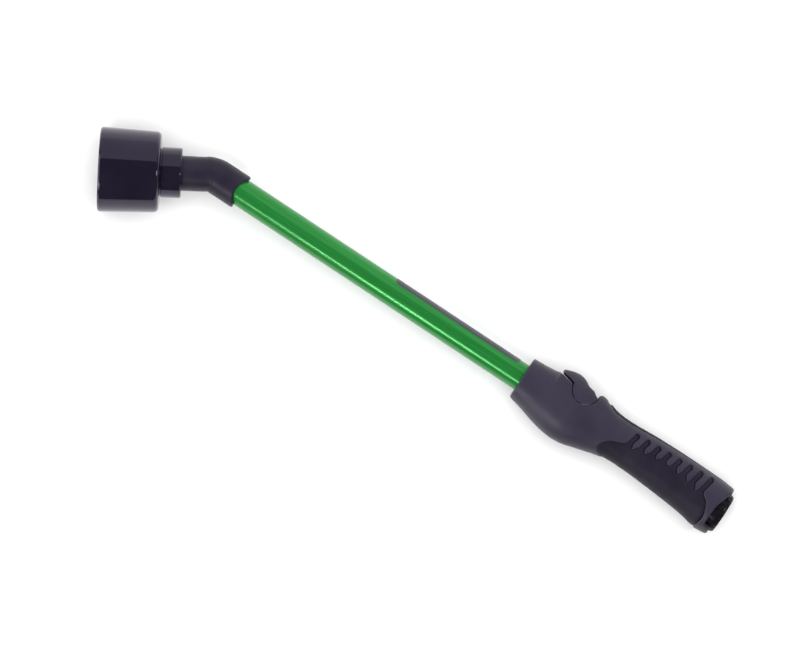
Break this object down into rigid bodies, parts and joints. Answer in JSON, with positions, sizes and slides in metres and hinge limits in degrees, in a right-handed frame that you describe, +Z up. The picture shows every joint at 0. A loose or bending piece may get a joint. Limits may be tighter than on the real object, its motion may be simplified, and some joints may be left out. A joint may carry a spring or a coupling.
{
  "type": "watering wand",
  "caption": "Hand-held watering wand: round spray head on a bent elbow, slim tube, and a moulded handle with a thumb-lever shut-off valve and a swivelling hose nut.",
  "frame": {"origin": "on the floor, under the centre of the bounding box of the wand lying on its side", "axes": "+X along the tube towards the hose nut, +Y to the thumb lever's side, +Z up from the floor; the wand rests on its head's rim and its handle's hose end, so its tube slopes down by 1.37 degrees towards +X"},
  "size_m": [0.5428, 0.0966, 0.0635],
  "materials": {
    "gloss_black": "glossy moulded",
    "face_black": "satin moulded",
    "satin_black": "satin moulded",
    "anodised_green": "green anodised",
    "label": "printed film",
    "handle": "soft-touch",
    "soft_grip": "moulded elastomer",
    "nut_black": "glossy moulded",
    "nylon": "natural",
    "rubber": "moulded",
    "steel": "bright",
    "brass": "turned"
  },
  "bodies": {
    "handle": {"head_body": "gloss_black", "spray_face": "face_black", "flow_spreader": "nylon", "head_washer": "rubber", "elbow": "satin_black", "tube": "anodised_green", "tube_label": "label", "tube_front_o_ring": "rubber", "tube_rear_o_ring": "rubber", "handle_shell_left": "handle", "handle_shell_right": "handle", "palm_grip": "soft_grip", "back_strip": "soft_grip", "lever_pin": "steel", "valve_body": "nylon", "stem_o_ring": "rubber", "valve_spring": "steel", "valve_cap": "nylon", "cap_o_ring": "rubber", "inlet_tube": "nylon", "inlet_o_ring": "rubber", "nut_retaining_ring": "steel"},
    "lever": {"thumb_lever": "handle"},
    "plunger": {"valve_plunger": "brass", "valve_seal": "rubber"},
    "nut": {"swivel_nut": "nut_black", "hose_washer": "rubber"}
  },
  "joints": [
    {"name": "lever_pivot", "type": "hinge", "parent": "handle", "child": "lever", "pos_m": [0.13565, 0.04084, 0.02238], "axis": [-0.024, 0, -0.9997], "range_deg": [0, 55]},
    {"name": "valve_lift", "type": "slide", "parent": "handle", "child": "plunger", "axis": [0, 1, 0], "range_m": [0, 0.003], "stiffness_N_per_m": 800, "springref_m": 0.006, "deforming": ["valve_spring"]},
    {"name": "nut_swivel", "type": "hinge", "parent": "handle", "child": "nut", "pos_m": [0.26281, 0.01944, 0.01932], "axis": [0.9997, 0, -0.024], "continuous": true}
  ],
  "couplings": [
    {"joint": "lever_pivot", "follows": "valve_lift", "rad_per_m": 319.98}
  ]
}
